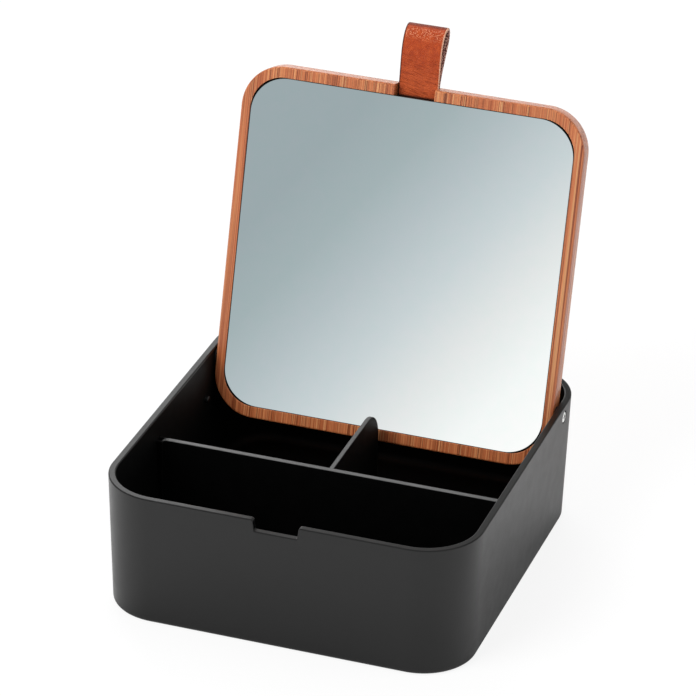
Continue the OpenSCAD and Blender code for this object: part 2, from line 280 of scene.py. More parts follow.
def notchColumns(t):
    # right half of the notch from its middle to the rim: floor, hollow corner, flared side, rounded upper
    # corner; gives place and height of the rim with the normal that points out of the wall
    low, top, half = t["notchFloor"], t["height"], t["notchHalf"]
    flare = np.arctan(t["notchFlare"] / (top - low))
    f = np.degrees(flare)
    r, e = t["notchRound"], t["notchEase"]

    def side(z):
        # the flared side at a height
        return half + (z - low) * np.tan(flare)

    hollow = arcPoints((side(low + r) - r / np.cos(flare), low + r), r, -90, -f, t["hollowSteps"])
    crest = arcPoints((side(top - e) + e / np.cos(flare), top - e), e, 180 - f, 90, t["crestSteps"])
    place = np.concatenate([[[0, low]], hollow, crest])
    into = np.radians(np.linspace(90, 180 - f, t["hollowSteps"] + 1))
    onto = np.radians(np.linspace(180 - f, 90, t["crestSteps"] + 1))
    angle = np.concatenate([[np.pi / 2], into, onto])
    return place, np.stack([np.cos(angle), np.sin(angle)], -1)


def tubColumns(t):
    # corner arcs of the rounded rectangle, with the notch's columns put into the front side
    shape = rectangle(t["width"], t["depth"])
    centre, normal, radius = roundedOutline(shape, t["corner"], t["cornerSteps"])
    place, tilt = notchColumns(t)
    place = np.concatenate([(place * [-1, 1])[:0:-1], place])      # left half mirrored, middle kept once
    tilt = np.concatenate([(tilt * [-1, 1])[:0:-1], tilt])
    first = len(centre) // 4                                       # the front side follows the first corner
    front = np.stack([place[:, 0], np.full(len(place), t["corner"] - t["depth"] / 2)], -1)
    centre = np.insert(centre, first, front, 0)
    normal = np.insert(normal, first, np.tile([0, -1], (len(front), 1)), 0)
    rim = np.insert(np.full(len(radius), float(t["height"])), first, place[:, 1])
    tilts = np.insert(np.tile([0.0, 1.0], (len(radius), 1)), first, tilt, 0)
    return centre, normal, rim, tilts


def tubSurface(t):
    # each ring of the section has a distance from the corner's axis, a height and a shift along the rim,
    # from the underside up the outer wall, over the rim and down to the floor
    centre, normal, rim, tilt = tubColumns(t)
    one = np.ones(len(rim))
    rings = []

    def outer(z):
        # outer face's distance from the corner's axis at a height
        return t["corner"] - t["lean"] * (1 - z / t["height"])

    def inner(z):
        # inner face's distance at a height
        return outer(z) - t["wall"]

    def ring(radial, z, shift=0):
        # one more ring, each value given once or for every column
        rings.append((radial * one, z * one, shift * one))

    def rimRing(inset, drop, face):
        # follows the rim and the notch, this far below them
        z = rim - drop * tilt[:, 1]
        ring(face(z) + inset, z, -drop * tilt[:, 0])

    def wallRing(face, start, drop, share):
        # a share of the way from a height to just below the rim
        z = start + (rim - drop * tilt[:, 1] - start) * share
        ring(face(z), z, -drop * tilt[:, 0] * share)

    # underside with its standing ring
    ringEdge = t["corner"] - t["lean"] - t["ringWidth"]
    for radial, z in ((t["capRadius"], t["ringHeight"]), (ringEdge, t["ringHeight"]), (ringEdge, 0)):
        ring(radial, z)
    # foot and outer wall
    foot = t["footRound"]
    ring(outer(foot) - foot - t["flatHold"], 0)
    for radial, z in arcPoints((outer(foot) - foot, foot), foot, -90, 0, t["footSteps"]):
        ring(radial, z)
    r, lip = t["rimRound"], t["lipRound"]
    for share in t["wallRows"]:
        wallRing(outer, foot, r + t["outerHold"], share)
    # rim
    for a in np.radians(np.linspace(0, 90, t["rimPoints"])):
        rimRing(-r * (1 - np.cos(a)), r * (1 - np.sin(a)), outer)
    rimRing(-r - t["rimHold"], 0, outer)
    rimRing(lip + t["rimHold"], 0, inner)
    for a in np.radians(np.linspace(90, 180, t["lipPoints"])):
        rimRing(lip * (1 + np.cos(a)), lip * (1 - np.sin(a)), inner)
    # inner wall, hollow and floor
    well = t["floor"] + t["floorRound"]
    for share in t["wallRows"][::-1]:
        wallRing(inner, well, lip + t["innerHold"], share)
    hollow = inner(well) - t["floorRound"]
    for radial, z in arcPoints((hollow, well), t["floorRound"], 0, -90, t["floorSteps"]):
        ring(radial, z)
    ring(hollow - t["flatHold"], t["floor"])
    ring(t["capRadius"], t["floor"])

    radial, z, shift = (np.array(values) for values in zip(*rings))
    tangent = np.stack([-normal[:, 1], normal[:, 0]], -1)
    flat = centre + normal * radial[..., None] + tangent * shift[..., None]
    points = np.concatenate([flat, z[..., None]], -1)
    return points.reshape(-1, 3), gridFaces(len(rings), len(rim))


divider = {
    "crossPlace": -19.071, "crossThick": 2.4, "shortThick": 2, "top": 55.15, "shortRear": 48.51,
    "crossRound": 5, "shortRound": 16, "footRound": 1, "seamRound": 0.5, "endGap": 0.3, "edge": 0.3,
    "crossSteps": 12, "shortSteps": 16, "shortHold": 0.1,
    "ribClear": 10, "ribBite": 0.4, "ribRound": 0.3, "ribEdge": 0.2, "ribHold": 0.02,
}


def guideRib(t, side, y):
    # rib that stands on the floor and follows the side wall, its upper corner eased
    low, top, bite = t["floor"] - t["guideSink"], t["guideTop"], t["guideBite"]
    inner = wallPlace(t, t["floor"]) - t["guideOut"]
    corners = [[inner, low], [wallPlace(t, low) + bite, low], [wallPlace(t, top) + bite, top], [inner, top]]
    outline = roundedOutline(corners, t["guideRound"], ribSteps)
    part = plate(outline, t["guideThick"], t["guideEdge"], t["guideHold"])
    rib = placed(part, axisX, axisZ, -axisY, (0, y + t["guideThick"] / 2, 0))
    return rib if side > 0 else placed(rib, -axisX, axisY, axisZ)


def tubRibs(t, d):
    # four guide ribs beside the cross divider's ends and two low ones along the short divider's foot
    offset = d["crossThick"] / 2 + t["guideGap"] + t["guideThick"] / 2
    ribs = [guideRib(t, side, d["crossPlace"] + end * offset) for side in bothSides for end in bothSides]
    front = d["crossPlace"] + d["crossThick"] / 2 + t["guideOut"]
    length = d["shortRear"] - d["ribClear"] - front
    outline = roundedOutline(rectangle(t["guideThick"], length), t["floorRibRound"], ribSteps)
    low = plate(outline, t["floorRib"] + t["floorRibSink"], t["guideEdge"], t["floorRibHold"])
    beside = d["shortThick"] / 2 + t["guideGap"] + t["guideThick"] / 2
    place = np.array([beside, front + length / 2, t["floor"] - t["floorRibSink"]])
    return ribs + [placed(low, axisX, axisY, axisZ, place * [side, 1, 1]) for side in bothSides]


def tubNubs(t):
    # a short round stud on each side wall, its edge rounded
    y, z = t["nubPlace"]
    r, out, ease = t["nubRadius"], t["nubOut"], t["nubRound"]
    stem = [[r, -t["nubSink"]], [r, out - ease - t["nubHold"]]]
    crest = arcPoints((r - ease, out - ease), ease, 0, 90, t["nubSteps"])
    nub = lathe(np.concatenate([stem, crest, [[t["nubCrown"], out]]]), t["nubSides"])
    place = np.array([wallPlace(t, z), y, z])
    return [placed(nub, axisY, -side * axisZ, -side * axisX, place * [side, 1, 1]) for side in bothSides]


def buildTub(t, d, materials):
    # the shell less its bores, with ribs and nubs
    piece = makeMesh("tub", tubSurface(t))
    # stepped bores for the pivot screws
    seat, reach = outerPlace(t, pivot[2]) - t["headDepth"], t["boreReach"]
    bore = lathe([[t["holeRadius"], seat - reach], [t["holeRadius"], seat],
                  [t["headRadius"], seat], [t["headRadius"], seat + reach]])
    cutAway(piece, *[placed(bore, axisY, side * axisZ, side * axisX, pivot) for side in bothSides])
    addParts(piece, *tubRibs(t, d), *tubNubs(t))
    # faces that look inwards, or up from below the rim, are matte, apart from the nubs
    middle, normal = faceMiddles(piece)
    height = middle[:, 2]
    inwards = (middle * normal)[:, :2].sum(1) < t["matteInwards"]
    upwards = (normal[:, 2] > t["matteUpwards"]) & (height < t["guideTop"] + t["matteAbove"])
    within = (height < t["height"] - t["satinRim"]) & (height > t["floor"] - t["guideSink"])
    fromNub = np.linalg.norm(middle[:, 1:] - t["nubPlace"], axis=1)
    paintFaces(piece, (inwards | upwards) & within & (fromNub > t["nubRadius"] + t["satinNub"]))
    finishPiece(piece, "tub", ["tub_shell"], materials)


# Dividers: two plates, their rims painted grey as a highlight

def paintEdge(piece, columns):
    # the plate's rim, between its two flat borders, takes the second material: a painted grey highlight
    row = np.arange(len(piece.data.polygons)) // columns
    paintFaces(piece, (row > 0) & (row < 2 * edgeSteps))


def buildDividers(t, d, materials):
    # the cross plate follows the floor's rounding and the leaning walls, and carries two guide ribs
    low, heel, top = t["floor"], t["floor"] + t["floorRound"], d["top"]
    foot, end = wallPlace(t, heel) - d["endGap"], wallPlace(t, top) - d["endGap"]
    half = [[foot - t["floorRound"], low], [foot, heel], [end, top]]
    corners = half + [[-x, z] for x, z in half[::-1]]
    big, small = d["crossRound"], d["footRound"]
    outline = roundedOutline(corners, [small, small, big, big, small, small], d["crossSteps"])
    rear = d["crossPlace"] + d["crossThick"] / 2
    cross = placed(plate(outline, d["crossThick"], d["edge"]), axisX, axisZ, -axisY, (0, rear, 0))
    piece = makeMesh("cross_plate", cross)
    paintEdge(piece, len(outline[2]))
    section = rectangle(t["guideThick"], t["guideOut"] + d["ribBite"])
    section = roundedOutline(section, d["ribRound"], ribSteps)
    rib = plate(section, top - d["ribClear"] - low, d["ribEdge"], d["ribHold"])
    beside = d["shortThick"] / 2 + t["guideGap"] + t["guideThick"] / 2
    place = np.array([beside, rear + t["guideOut"] / 2 - d["ribBite"] / 2, low])
    addParts(piece, *[placed(rib, axisX, axisY, axisZ, place * [side, 1, 1]) for side in bothSides])
    finishPiece(piece, "tub", ["cross_divider"], materials)

    # the short plate runs from the cross plate backwards, its upper rear corner well rounded
    corners = [[rear, low], [d["shortRear"], low], [d["shortRear"], top], [rear, top]]
    radii = [d["seamRound"], small, d["shortRound"], d["seamRound"]]
    outline = roundedOutline(corners, radii, d["shortSteps"])
    short = plate(outline, d["shortThick"], d["edge"], d["shortHold"])
    piece = makeMesh("short_plate", placed(short, axisY, axisZ, axisX, (-d["shortThick"] / 2, 0, 0)))
    paintEdge(piece, len(outline[2]))
    finishPiece(piece, "tub", ["short_divider"], materials)


# Lid: board, mirror, strap and pivots, drawn as x across, v up the board from the pivot and n out of the
# mirror side

lid = {
    "width": 170.97, "length": 173.57, "thick": 9.5, "corner": 21, "cornerSteps": 24,
    "edge": 1.0, "edgePoints": 7, "hold": 0.25, "pivotUp": 27, "lean": 15,
    "frameSide": 4.8, "frameTop": 5.4, "frameBottom": 5.8,
    "windowEase": 0.3, "windowDepth": 2.7, "capInset": 8,
    "glassThick": 2, "glassSink": 0.3, "glassGap": 0.2, "glassEdge": 0.1, "glassRound": 1.7,
    "pocketWidth": 20.2, "pocketLip": 1.2, "pocketLow": 121.17,
    "shadeReach": 0.05, "shadeClear": 0.01, "shadeSink": 0.1,     # tolerances of the recess painted dark as shade
}
leanAngle = np.radians(lid["lean"])
lidAxes = np.array([
    (1, 0, 0),
    (0, np.sin(leanAngle), np.cos(leanAngle)),
    (0, -np.cos(leanAngle), np.sin(leanAngle))])


def onLid(part):
    # from the board's own coordinates to its place on the pivot
    return placed(part, *lidAxes, pivot)


def windowSpan(b):
    # lower and upper end of the mirror's opening
    return b["frameBottom"] - b["pivotUp"], b["length"] - b["pivotUp"] - b["frameTop"]


def windowOutline(b, gap=0, rounder=0):
    # mirror's opening, or the glass with a gap round it and rounder corners
    low, high = windowSpan(b)
    width = b["width"] - 2 * b["frameSide"]
    shape = rectangle(width - 2 * gap, high - low - 2 * gap, (0, (low + high) / 2))
    return roundedOutline(shape, b["corner"] - b["frameSide"] - gap + rounder, b["cornerSteps"])


def boardSurface(b):
    # rings between the opening's outline and the board's outline, each with its inset and height:
    # recess floor and wall, front face, eased edges, back
    half, e, w, hold = b["thick"] / 2, b["edge"], b["windowEase"], b["hold"]
    deep = half - b["windowDepth"]
    shape = rectangle(b["width"], b["length"], (0, b["length"] / 2 - b["pivotUp"]))
    a = np.radians(np.linspace(0, 90, b["edgePoints"]))
    s, c = np.sin(a), np.cos(a)
    recess = np.concatenate([
        [[-b["capInset"], deep], [0, deep]],
        np.stack([w * (1 - c), half - w + w * s], -1),
        [[w + hold, half]]])
    edge = np.concatenate([
        [[-e - hold, half]],
        np.stack([e * (s - 1), half - e + e * c], -1),
        np.stack([e * (c - 1), -half + e - e * s], -1),
        [[-e - hold, -half], [-b["capInset"], -half]]])
    rings = []
    outer = roundedOutline(shape, b["corner"], b["cornerSteps"])
    for (centre, normal, radius), section in ((windowOutline(b), recess), (outer, edge)):
        flat = centre + normal * (radius + section[:, :1])[..., None]
        rings.append(atHeights(flat, section[:, 1]))
    points = np.concatenate(rings)
    return points.reshape(-1, 3), gridFaces(*points.shape[:2])


def buildBoard(b, materials):
    # the board less the pocket for the strap's foot
    piece = makeMesh("board", onLid(boardSurface(b)))
    front, wide = b["thick"] / 2, b["pocketWidth"] / 2
    pocket = brick((-wide, b["pocketLow"], -front + b["pocketLip"]), (wide, b["length"], b["thick"]))
    cutAway(piece, onLid(pocket))
    # the recess behind the glass is painted dark as shade: within the opening's outline and below its eased
    # edge, but not on the pocket's sides
    x, v, n = ((faceMiddles(piece)[0] - pivot) @ lidAxes.T).T
    low, high = windowSpan(b)
    r = b["corner"] - b["frameSide"]
    sideways = np.maximum(abs(x) - b["width"] / 2 + b["corner"], 0)
    upwards = np.maximum(abs(v - (low + high) / 2) - (high - low) / 2 + r, 0)
    inside = np.hypot(sideways, upwards) < r + b["shadeReach"]
    inside &= abs(abs(x) - wide) > b["shadeClear"]
    sunk = (n < front - b["windowEase"]) & (n > front - b["windowDepth"] - b["shadeSink"])
    paintFaces(piece, inside & sunk)
    finishPiece(piece, "lid", ["lid_board"], materials)


def buildMirror(b, materials):
    # a plate in the opening's outline, a little below the frame
    outline = windowOutline(b, b["glassGap"], b["glassRound"])
    points, faces = plate(outline, b["glassThick"], b["glassEdge"])
    back = b["thick"] / 2 - b["glassSink"] - b["glassThick"]
    piece = makeMesh("mirror", onLid((points + [0, 0, back], faces)))
    # the last ring and the last cap are silvered, the rest is the ground edge and the back
    number = np.arange(len(faces))
    ring = number // len(outline[2])
    silvered = (ring == ring.max() - 1) | (number == len(faces) - 1)
    paintFaces(piece, ~silvered)
    finishPiece(piece, "lid", ["mirror_glass"], materials, sharp=8)


# Strap: a leather strip carried along a loop

strap = {
    "width": 19.8, "thick": 1.4, "rise": 28.5, "gap": 7.5, "opening": 1.8, "bend": 4.8, "peak": 0.75,
    "tuckLow": 121.4, "leafGap": 0.02, "edge": 0.35,
    "loopSteps": 90, "tuckSteps": 12, "edgeSteps": 5, "acrossSteps": 10,
}


def strapPath(s, b):
    # inner face of the loop: a teardrop gap that opens from the board to three quarters of its height and
    # closes round at the tip, all bent back by the square of the height; both ends run straight down
    # behind the glass
    boardTop = b["length"] - b["pivotUp"]
    middle = -b["thick"] / 2 + b["pocketLip"] + s["thick"]
    tall = s["rise"] - s["thick"]
    h = 1 - np.linspace(1, 0, s["loopSteps"]) ** 2
    half = s["gap"] / 2 * (h / s["peak"]) ** s["opening"] * np.sqrt((1 - h) / (1 - s["peak"]))
    half += s["leafGap"]
    v, n = boardTop + tall * h, middle - s["bend"] * h ** 2
    up, down = np.stack([v, n + half], -1), np.stack([v, n - half], -1)
    tuck = np.linspace(s["tuckLow"], boardTop, s["tuckSteps"], endpoint=False)
    front = np.stack([tuck, np.full(len(tuck), middle + s["leafGap"])], -1)
    rear = front - [0, 2 * s["leafGap"]]
    path = np.concatenate([front, up, down[-2::-1], rear[::-1]])
    along = np.gradient(path, axis=0)
    along /= np.linalg.norm(along, axis=1, keepdims=True)
    return path, np.stack([-along[:, 1], along[:, 0]], -1)


def strapSurface(s, b):
    # section across the strip, carried along the path: left edge, flesh side, right edge, grain side
    path, outward = strapPath(s, b)
    half, e, t = s["width"] / 2, s["edge"], s["thick"]
    centre, normal, radius = roundedOutline(rectangle(s["width"], t, (0, t / 2)), e, s["edgeSteps"])
    corners = np.split(centre + normal * radius[:, None], 4)
    across = np.linspace(-half + e, half - e, s["acrossSteps"] + 2)[1:-1]
    flesh = np.stack([across, np.zeros(len(across))], -1)
    grain = np.stack([across[::-1], np.full(len(across), t)], -1)
    section = np.concatenate([corners[0], flesh, corners[1], corners[2], grain, corners[3]])
    vn = path[:, None] + outward[:, None] * section[None, :, 1:]
    x = np.broadcast_to(section[None, :, :1], vn.shape[:2] + (1,))
    points = np.concatenate([x, vn], -1)
    return points.reshape(-1, 3), gridFaces(*points.shape[:2]), len(section)


def buildStrap(s, b, materials):
    # the strip; 0 is the grain side with the left edge, 1 the flesh side with the right edge, 2 the right
    # edge of the front leaf
    points, faces, columns = strapSurface(s, b)
    piece = makeMesh("pull_loop", onLid((points, faces)))
    row, column = np.divmod(np.arange(len(faces)), columns)
    fleshFrom = s["edgeSteps"]
    edgeFrom = fleshFrom + s["acrossSteps"] + 1
    grainFrom = edgeFrom + 2 * s["edgeSteps"] + 1
    side = np.zeros(len(faces))
    side[(column >= fleshFrom) & (column < grainFrom)] = 1
    side[(column >= edgeFrom) & (column < grainFrom) & (row < row.max() / 2)] = 2
    paintFaces(piece, side)
    finishPiece(piece, "lid", ["strap"], materials, sharp=50)


# Pivot screws: pan heads with a cross recess

screw = {
    "headRadius": 2.65, "headHeight": 1.55, "dome": 0.4, "domeRound": 0.9, "domePoints": 9, "crown": 0.5,
    "shank": 1.5, "core": 1.0, "thread": 14, "pitch": 1.2,
    "recessWidth": 0.7, "recessLength": 3.0, "recessDepth": 1.1, "recessOver": 1,
    "darkClear": 0.1, "darkReach": 0.5,                           # limits of the dark faces
}


def screwProfile(s, face, top):
    # radius and place along the axis: thread turns in the board, shank through the wall, head, dome
    turns = np.arange(int(s["thread"] / s["pitch"]), 0, -1)[:, None]
    valleys = np.stack([np.full(turns.shape, s["core"]), face - turns * s["pitch"]], -1)
    crests = np.stack([np.full(turns.shape, s["shank"]), face - turns * s["pitch"] + s["pitch"] / 2], -1)
    thread = np.concatenate([valleys, crests], 1).reshape(-1, 2)
    seat = top - s["headHeight"]
    a = np.radians(np.linspace(0, 90, s["domePoints"]))
    ease, rise = s["domeRound"], s["dome"]
    dome = np.stack([s["headRadius"] - ease + ease * np.cos(a), top - rise + rise * np.sin(a)], -1)
    shank = [[s["shank"], face], [s["shank"], seat], [s["headRadius"], seat]]
    return np.concatenate([thread, shank, dome, [[s["crown"], top]]])


def buildScrew(s, t, b, side, name, node, materials):
    # the profile turned round the lid's axis, less two crossing bars
    top = outerPlace(t, pivot[2])
    axes = (axisY, side * axisZ, side * axisX)
    profile = screwProfile(s, b["width"] / 2, top)
    piece = makeMesh(name, placed(lathe(profile), *axes, pivot))
    long, wide = s["recessLength"] / 2, s["recessWidth"] / 2
    bottom = top - s["recessDepth"]
    over = top + s["recessOver"]
    cross = [brick((-x, -y, bottom), (x, y, over)) for x, y in ((long, wide), (wide, long))]
    cutAway(piece, *[placed(bar, *axes, pivot) for bar in cross])
    # the recess is painted dark as shade
    middle = faceMiddles(piece)[0]
    axial = middle[:, 0] * side
    fromAxis = np.linalg.norm((middle - pivot)[:, 1:], axis=1)
    sunk = (axial < top - s["darkClear"]) & (axial > bottom - s["darkClear"])
    paintFaces(piece, sunk & (fromAxis < long + s["darkReach"]))
    finishPiece(piece, "lid", [node], materials)


# Materials: pattern sizes are in millimetres

def blackAbs(name, dark, light, smooth, index):
    # moulded ABS, spark-eroded: near black, grey only where it mirrors pale things, with an even grit;
    # the real grit of 0.1 mm is too fine to show, so it is drawn 0.5 mm wide;
    # rays from a perfect mirror pass the plastic, so that the glass shows the room alone
    material, tree, place = newMaterial(name)
    cloud = addNode(tree, "TexNoise", {"Vector": place, "Scale": 1 / 7, "Detail": 3.0})
    grit = addNode(tree, "TexNoise", {"Vector": place, "Scale": 1 / 0.5, "Detail": 2.0})
    plastic = addNode(tree, "BsdfPrincipled", {
        "Base Color": addNode(tree, "ValToRGB", [cloud], [(0.3, dark), (0.7, light)]),
        "Roughness": addNode(tree, "MapRange", [cloud, 0.3, 0.7, smooth, smooth + 0.04]),
        "Normal": addNode(tree, "Bump", {"Height": grit, "Strength": 0.06, "Distance": 0.25 * mm}),
        "IOR": index})
    sharpMirror = addNode(tree, "LightPath").outputs["Is Singular Ray"]
    shown = addNode(tree, "MixShader", [sharpMirror, plastic, addNode(tree, "BsdfTransparent")])
    addNode(tree, "OutputMaterial", [shown])
    return material


bambooStreaks = {      # width, length, detail and roughness of each pattern
    "fibre": (0.4, 120, 2.0, 0.6), "strip": (6, 400, 1.0, 0.5), "bundle": (5, 300, 1.0, 0.5),
    "darkLine": (0.32, 90, 0.0, 0.5), "brownLine": (0.55, 140, 0.0, 0.5), "paleLine": (0.5, 150, 0.0, 0.5),
}
bambooLines = [        # pattern, where it starts and is full, share and colour
    ("darkLine", 0.57, 0.63, 0.85, "#5e260e"),
    ("brownLine", 0.64, 0.69, 0.65, "#6e3014"),
    ("paleLine", 0.38, 0.32, 0.4, "#e6b078"),
]


def bamboo():
    # caramelised bamboo, planed and lacquered: straight fibres up the board, an even orange brown with thin
    # dark lines that come in bundles and a few yellowish ones; fibres of 0.2 mm are drawn 0.4 mm wide
    material, tree, place = newMaterial("bamboo_caramelised_lacquered", 90 - lid["lean"], pivot)
    streaks = {}
    for name, (wide, long, detail, rough) in bambooStreaks.items():
        drawn = addNode(
            tree, "Mapping", {"Vector": place, "Scale": (wide, long, wide)}, vector_type="TEXTURE")
        streaks[name] = addNode(tree, "TexNoise", {
            "Vector": drawn, "Scale": 1.0, "Detail": detail, "Roughness": rough})
    grain = addNode(tree, "Math", [streaks["strip"], 0.25], operation="MULTIPLY")
    grain = addNode(tree, "Math", [streaks["fibre"], 0.75, grain], operation="MULTIPLY_ADD")
    tones = [(0.3, "#984c2a"), (0.45, "#aa5c35"), (0.55, "#b6693f"), (0.7, "#cc8855")]
    colour = addNode(tree, "ValToRGB", [grain], tones)
    bundle = addNode(tree, "MapRange", [streaks["bundle"], 0.42, 0.56, 0.5, 1.0])
    for name, start, full, share, tone in bambooLines:
        line = addNode(tree, "MapRange", [streaks[name], start, full, 0.0, share])
        line = addNode(tree, "Math", [line, bundle], operation="MULTIPLY")
        colour = addNode(tree, "Mix", {0: line, 6: colour, 7: toLinear(tone)}, data_type="RGBA").outputs[2]
    relief = addNode(tree, "Bump", {"Height": streaks["fibre"], "Strength": 0.15, "Distance": 0.15 * mm})
    wood = addNode(tree, "BsdfPrincipled", {
        "Base Color": colour, "Normal": relief, "Roughness": 0.5, "IOR": 1.4,
        "Coat Weight": 0.6, "Coat Roughness": 0.25})
    addNode(tree, "OutputMaterial", [wood])
    return material


def silveredGlass():
    # silvered float glass: a clear mirror with the faintest wiped haze
    material, tree, place = newMaterial("silvered_float_glass")
    haze = addNode(tree, "TexNoise", {"Vector": place, "Scale": 1 / 6, "Detail": 3.0})
    silver = addNode(tree, "BsdfPrincipled", {
        "Base Color": addNode(tree, "ValToRGB", [haze], [(0.3, "#fcfffe"), (0.7, "#ffffff")]),
        "Metallic": 1.0, "Roughness": 0.0})
    addNode(tree, "OutputMaterial", [silver])
    return material


def grainLeather():
    # cowhide, pigmented and embossed: cognac with pebbles and darker valleys, pale specks under the fold as
    # a painted highlight, slanting creases low on the strap, a lighter lower part as painted light, painted
    # shade along the left edge, darker towards the top of the fold and painted shade on the foot behind the
    # glass
    material, tree, place = newMaterial("cowhide_embossed_cognac", 90 - lid["lean"], pivot)
    across, up, _ = addNode(tree, "SeparateXYZ", [place]).outputs
    spans = {          # each part of the strap grows from the first place to the second
        # the lower span lightens the lower strap: painted light
        "lower": (up, 159.0, 147.0), "glintFrom": (up, 167.5, 171.0), "glintTo": (up, 174.2, 173.0),
        # the left edge span darkens the strap's left edge: painted shade
        "creased": (up, 164.0, 157.0), "leftShade": (across, -9.0, -9.5),
        # the foot span turns the strap near black where it dips behind the glass: painted shade
        "fold": (up, 173.9, 174.7), "foot": (up, 142.0, 140.8)}
    part = {name: addNode(tree, "MapRange", list(span)) for name, span in spans.items()}

    cloud = addNode(tree, "TexNoise", {"Vector": place, "Scale": 1 / 2.5, "Detail": 3.0})
    pebbles = addNode(tree, "TexVoronoi", {"Vector": place, "Scale": 1 / 0.8}, feature="DISTANCE_TO_EDGE")
    groove = addNode(tree, "MapRange", [pebbles, 0.2, 0.02])
    flat = addNode(tree, "Mapping", {"Vector": place, "Scale": (0.75, 0.6, 0.75)}, vector_type="TEXTURE")
    specks = addNode(tree, "TexVoronoi", {"Vector": flat, "Scale": 1.0}, feature="F1")
    # pale specks under the fold: a painted highlight standing for glints on the pebbles
    speckGlint = addNode(tree, "MapRange", [specks, 0.42, 0.26])
    speckGlint = addNode(tree, "Math", [speckGlint, part["glintFrom"]], operation="MULTIPLY")
    speckGlint = addNode(tree, "Math", [speckGlint, part["glintTo"]], operation="MULTIPLY")
    slant = addNode(tree, "Mapping", {
        "Vector": place, "Rotation": (0, 0, np.radians(-12)), "Scale": (7, 0.6, 7)}, vector_type="TEXTURE")
    crease = addNode(tree, "TexNoise", {"Vector": slant, "Scale": 1.0, "Detail": 1.0})
    crease = addNode(tree, "MapRange", [crease, 0.45, 0.36])
    crease = addNode(tree, "Math", [crease, part["creased"]], operation="MULTIPLY")

    colour = addNode(tree, "ValToRGB", [cloud], [(0.3, "#98391a"), (0.5, "#a4411c"), (0.7, "#b04b22")])
    layers = [         # where, how much and which colour
        (part["lower"], 0.35, "#d0683a"), (groove, 0.35, "#832f11"), (crease, 0.4, "#74260e"),
        (speckGlint, 0.55, "#f0a880"), (part["leftShade"], 0.9, "#3a1408"), (part["fold"], 0.7, "#4a1a10"),
        (part["foot"], 1.0, "#0a0403")]
    for mask, share, tone in layers:
        mask = addNode(tree, "Math", [mask, share], operation="MULTIPLY")
        colour = addNode(tree, "Mix", {0: mask, 6: colour, 7: toLinear(tone)}, data_type="RGBA").outputs[2]
    height = addNode(tree, "Math", [groove, 0.6, crease], operation="MULTIPLY_ADD")
    relief = addNode(tree, "Bump", {"Height": height, "Strength": 0.7, "Distance": 0.2 * mm}, invert=True)
    hide = addNode(tree, "BsdfPrincipled", {
        "Base Color": colour, "Normal": relief, "Roughness": 0.42, "IOR": 1.32})
    addNode(tree, "OutputMaterial", [hide])
    return material


def fleshLeather():
    # flesh side of the hide: brushed nap, dark and pale tufts
    material, tree, place = newMaterial("cowhide_flesh_side_napped", 90 - lid["lean"], pivot)
    brushed = addNode(tree, "Mapping", {"Vector": place, "Scale": (0.6, 0.7, 0.6)}, vector_type="TEXTURE")
    nap = addNode(tree, "TexNoise", {"Vector": brushed, "Scale": 1.0, "Detail": 2.0, "Roughness": 0.6})
    tones = [(0.4, "#40211d"), (0.5, "#8f5a50"), (0.6, "#dcb3a4")]
    flesh = addNode(tree, "BsdfPrincipled", {
        "Base Color": addNode(tree, "ValToRGB", [nap], tones),
        "Normal": addNode(tree, "Bump", {"Height": nap, "Strength": 0.6, "Distance": 0.2 * mm}),
        "Roughness": 0.95})
    addNode(tree, "OutputMaterial", [flesh])
    return material


def platedSteel():
    # zinc-plated steel: bright, with turning marks that are too fine to show and so are drawn 0.3 mm wide
    material, tree, place = newMaterial("steel_zinc_plated")
    marks = addNode(tree, "TexNoise", {"Vector": place, "Scale": 1 / 0.3, "Detail": 3.0})
    plating = addNode(tree, "BsdfPrincipled", {
        "Base Color": toLinear("#f4f4f2"), "Metallic": 0.8,
        "Roughness": addNode(tree, "MapRange", [marks, 0.0, 1.0, 0.3, 0.45])})
    addNode(tree, "OutputMaterial", [plating])
    return material


def plainSolid(name, dark, light, size, roughness):
    # one tone with a faint mottle, for cut edges and small hidden parts
    material, tree, place = newMaterial(name)
    mottle = addNode(tree, "TexNoise", {"Vector": place, "Scale": 1 / size, "Detail": 2.0})
    solid = addNode(tree, "BsdfPrincipled", {
        "Base Color": addNode(tree, "ValToRGB", [mottle], [(0.3, dark), (0.7, light)]),
        "Roughness": roughness})
    addNode(tree, "OutputMaterial", [solid])
    return material


satin = blackAbs("black_abs_satin_moulded", "#020202", "#030303", 0.33, 1.46)
matte = blackAbs("black_abs_matte_moulded", "#020202", "#030303", 0.55, 1.25)
# grey divider rims: a painted highlight standing for their sheen
edgeSheen = blackAbs("black_abs_painted_sheen_edge", "#5a5a5a", "#626262", 0.5, 1.4)
# the recess behind the glass: painted shade, near black
recessShade = plainSolid("bamboo_recess_painted_shade", "#0a0503", "#140b07", 0.5, 0.8)
groundEdge = plainSolid("float_glass_ground_edge", "#0c1210", "#1b2421", 0.3, 0.5)   # bottle green
rawEdge = plainSolid("cowhide_cut_edge", "#b87a5c", "#e2b79c", 0.4, 0.8)             # pale raw fibres
# the screws' cross recess: painted shade, near black
screwShade = plainSolid("steel_recess_painted_shade", "#080808", "#101010", 0.3, 0.6)
foam = plainSolid("acrylic_foam_tape", "#dedbd2", "#ebe9e2", 0.3, 0.8)
nylon = plainSolid("black_nylon_moulded", "#0d0d0d", "#161616", 0.3, 0.45)
steel = platedSteel()
print("materials done")

buildTub(tub, divider, [satin, matte])
buildDividers(tub, divider, [matte, edgeSheen])
buildBoard(lid, [bamboo(), recessShade])
buildMirror(lid, [silveredGlass(), groundEdge])
buildStrap(strap, lid, [grainLeather(), fleshLeather(), rawEdge])
buildScrew(screw, tub, lid, -1, "screw_left", "pivot_screw_left", [steel, screwShade])
buildScrew(screw, tub, lid, 1, "screw_right", "pivot_screw_right", [steel, screwShade])
hidden = {"mirror_tape": foam, "pivot_washer_left": nylon, "pivot_washer_right": nylon}
for node, material in hidden.items():
    frame["nodes"][node].material_slots[0].material = material
print("pieces done")


# Studio: white floor, grey-to-white room for reflections, soft lights

